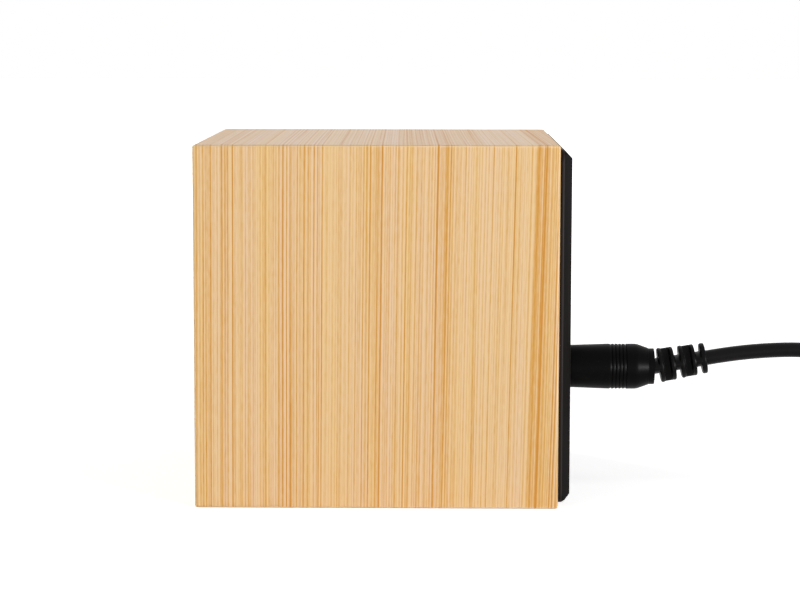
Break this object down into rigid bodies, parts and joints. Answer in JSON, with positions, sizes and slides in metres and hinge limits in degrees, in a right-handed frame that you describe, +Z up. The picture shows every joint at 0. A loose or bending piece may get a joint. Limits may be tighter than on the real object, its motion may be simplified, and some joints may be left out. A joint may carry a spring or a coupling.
{
  "type": "cube alarm clock",
  "caption": "Bamboo cube alarm clock with a display behind its front veneer, rear controls and battery box, and a plugged-in power lead.",
  "frame": {"origin": "on the surface it stands on, under the middle of the clock, without its lead", "axes": "+Z up, +X to the right of someone who reads the display, -Y out of the display, +Y out of the rear cover"},
  "size_m": [0.06, 0.1974, 0.06],
  "materials": {
    "bamboo": "pale bamboo with fine straight fibres, satin lacquer",
    "black_plastic": "black moulded plastic, fine texture",
    "grey_plastic": "dark grey moulded plastic",
    "white_plastic": "white moulded plastic",
    "circuit_board": "green lacquered glass-fibre board",
    "chip_plastic": "black moulded chip body",
    "led_plastic": "pale yellow clear resin",
    "steel": "bright plated steel",
    "plated_metal": "nickel plating",
    "gilt_metal": "gilt brass",
    "cell_sleeve": "printed sleeve on a metal can, plain and unmarked",
    "wire_sleeve": "red wire sleeve",
    "ribbon_sleeve": "grey ribbon sleeve",
    "lead_rubber": "black flexible PVC, satin",
    "tie_plastic": "black plastic-covered strap"
  },
  "bodies": {
    "clock": {"top_panel": "bamboo", "base_panel": "bamboo", "left_panel": "bamboo", "right_panel": "bamboo", "front_veneer": "bamboo", "corner_blocks": "bamboo", "diffuser_sheet": "white_plastic", "display_mask": "black_plastic", "display_board": "circuit_board", "display_screws": "steel", "segment_leds": "led_plastic", "clock_chip": "chip_plastic", "clock_crystal": "steel", "rear_cover": "black_plastic", "cover_screws": "steel", "battery_cells": "cell_sleeve", "battery_springs": "steel", "battery_contacts": "steel", "battery_leads": "wire_sleeve", "button_board": "circuit_board", "switch_bodies": "black_plastic", "dc_jack": "black_plastic", "dc_jack_pin": "steel", "dc_jack_leaf": "gilt_metal", "sound_board": "circuit_board", "sound_switch": "steel", "buzzer": "black_plastic", "microphone": "steel", "button_ribbon": "ribbon_sleeve", "sound_ribbon": "ribbon_sleeve"},
    "door": {"battery_door": "black_plastic"},
    "set_key": {"set_button": "black_plastic", "set_plunger": "grey_plastic"},
    "up_key": {"up_button": "black_plastic", "up_plunger": "grey_plastic"},
    "down_key": {"down_button": "black_plastic", "down_plunger": "grey_plastic"},
    "sound_knob": {"sound_switch_knob": "white_plastic"},
    "lead": {"plug_handle": "lead_rubber", "plug_barrel": "plated_metal", "plug_insulator": "grey_plastic", "plug_inner_contact": "gilt_metal", "strain_relief": "lead_rubber", "cord": "lead_rubber", "cord_coil": "lead_rubber", "cord_tail": "lead_rubber", "cord_tie": "tie_plastic", "usb_grip": "lead_rubber", "usb_shell": "plated_metal", "usb_tongue": "white_plastic", "usb_contacts": "gilt_metal"}
  },
  "joints": [
    {"name": "door_hinge", "type": "hinge", "parent": "clock", "child": "door", "pos_m": [0, 0.0301, 0.00675], "axis": [-1, 0, 0], "range_deg": [0, 90]},
    {"name": "set_press", "type": "slide", "parent": "clock", "child": "set_key", "axis": [0, -1, 0], "range_m": [0, 0.0005], "stiffness_N_per_m": 300},
    {"name": "up_press", "type": "slide", "parent": "clock", "child": "up_key", "axis": [0, -1, 0], "range_m": [0, 0.0005], "stiffness_N_per_m": 300},
    {"name": "down_press", "type": "slide", "parent": "clock", "child": "down_key", "axis": [0, -1, 0], "range_m": [0, 0.0005], "stiffness_N_per_m": 300},
    {"name": "sound_slide", "type": "slide", "parent": "clock", "child": "sound_knob", "axis": [0, 0, 1], "range_m": [0, 0.002]},
    {"name": "plug_pull", "type": "slide", "parent": "clock", "child": "lead", "axis": [0, 1, 0], "range_m": [0, 0.012]}
  ]
}
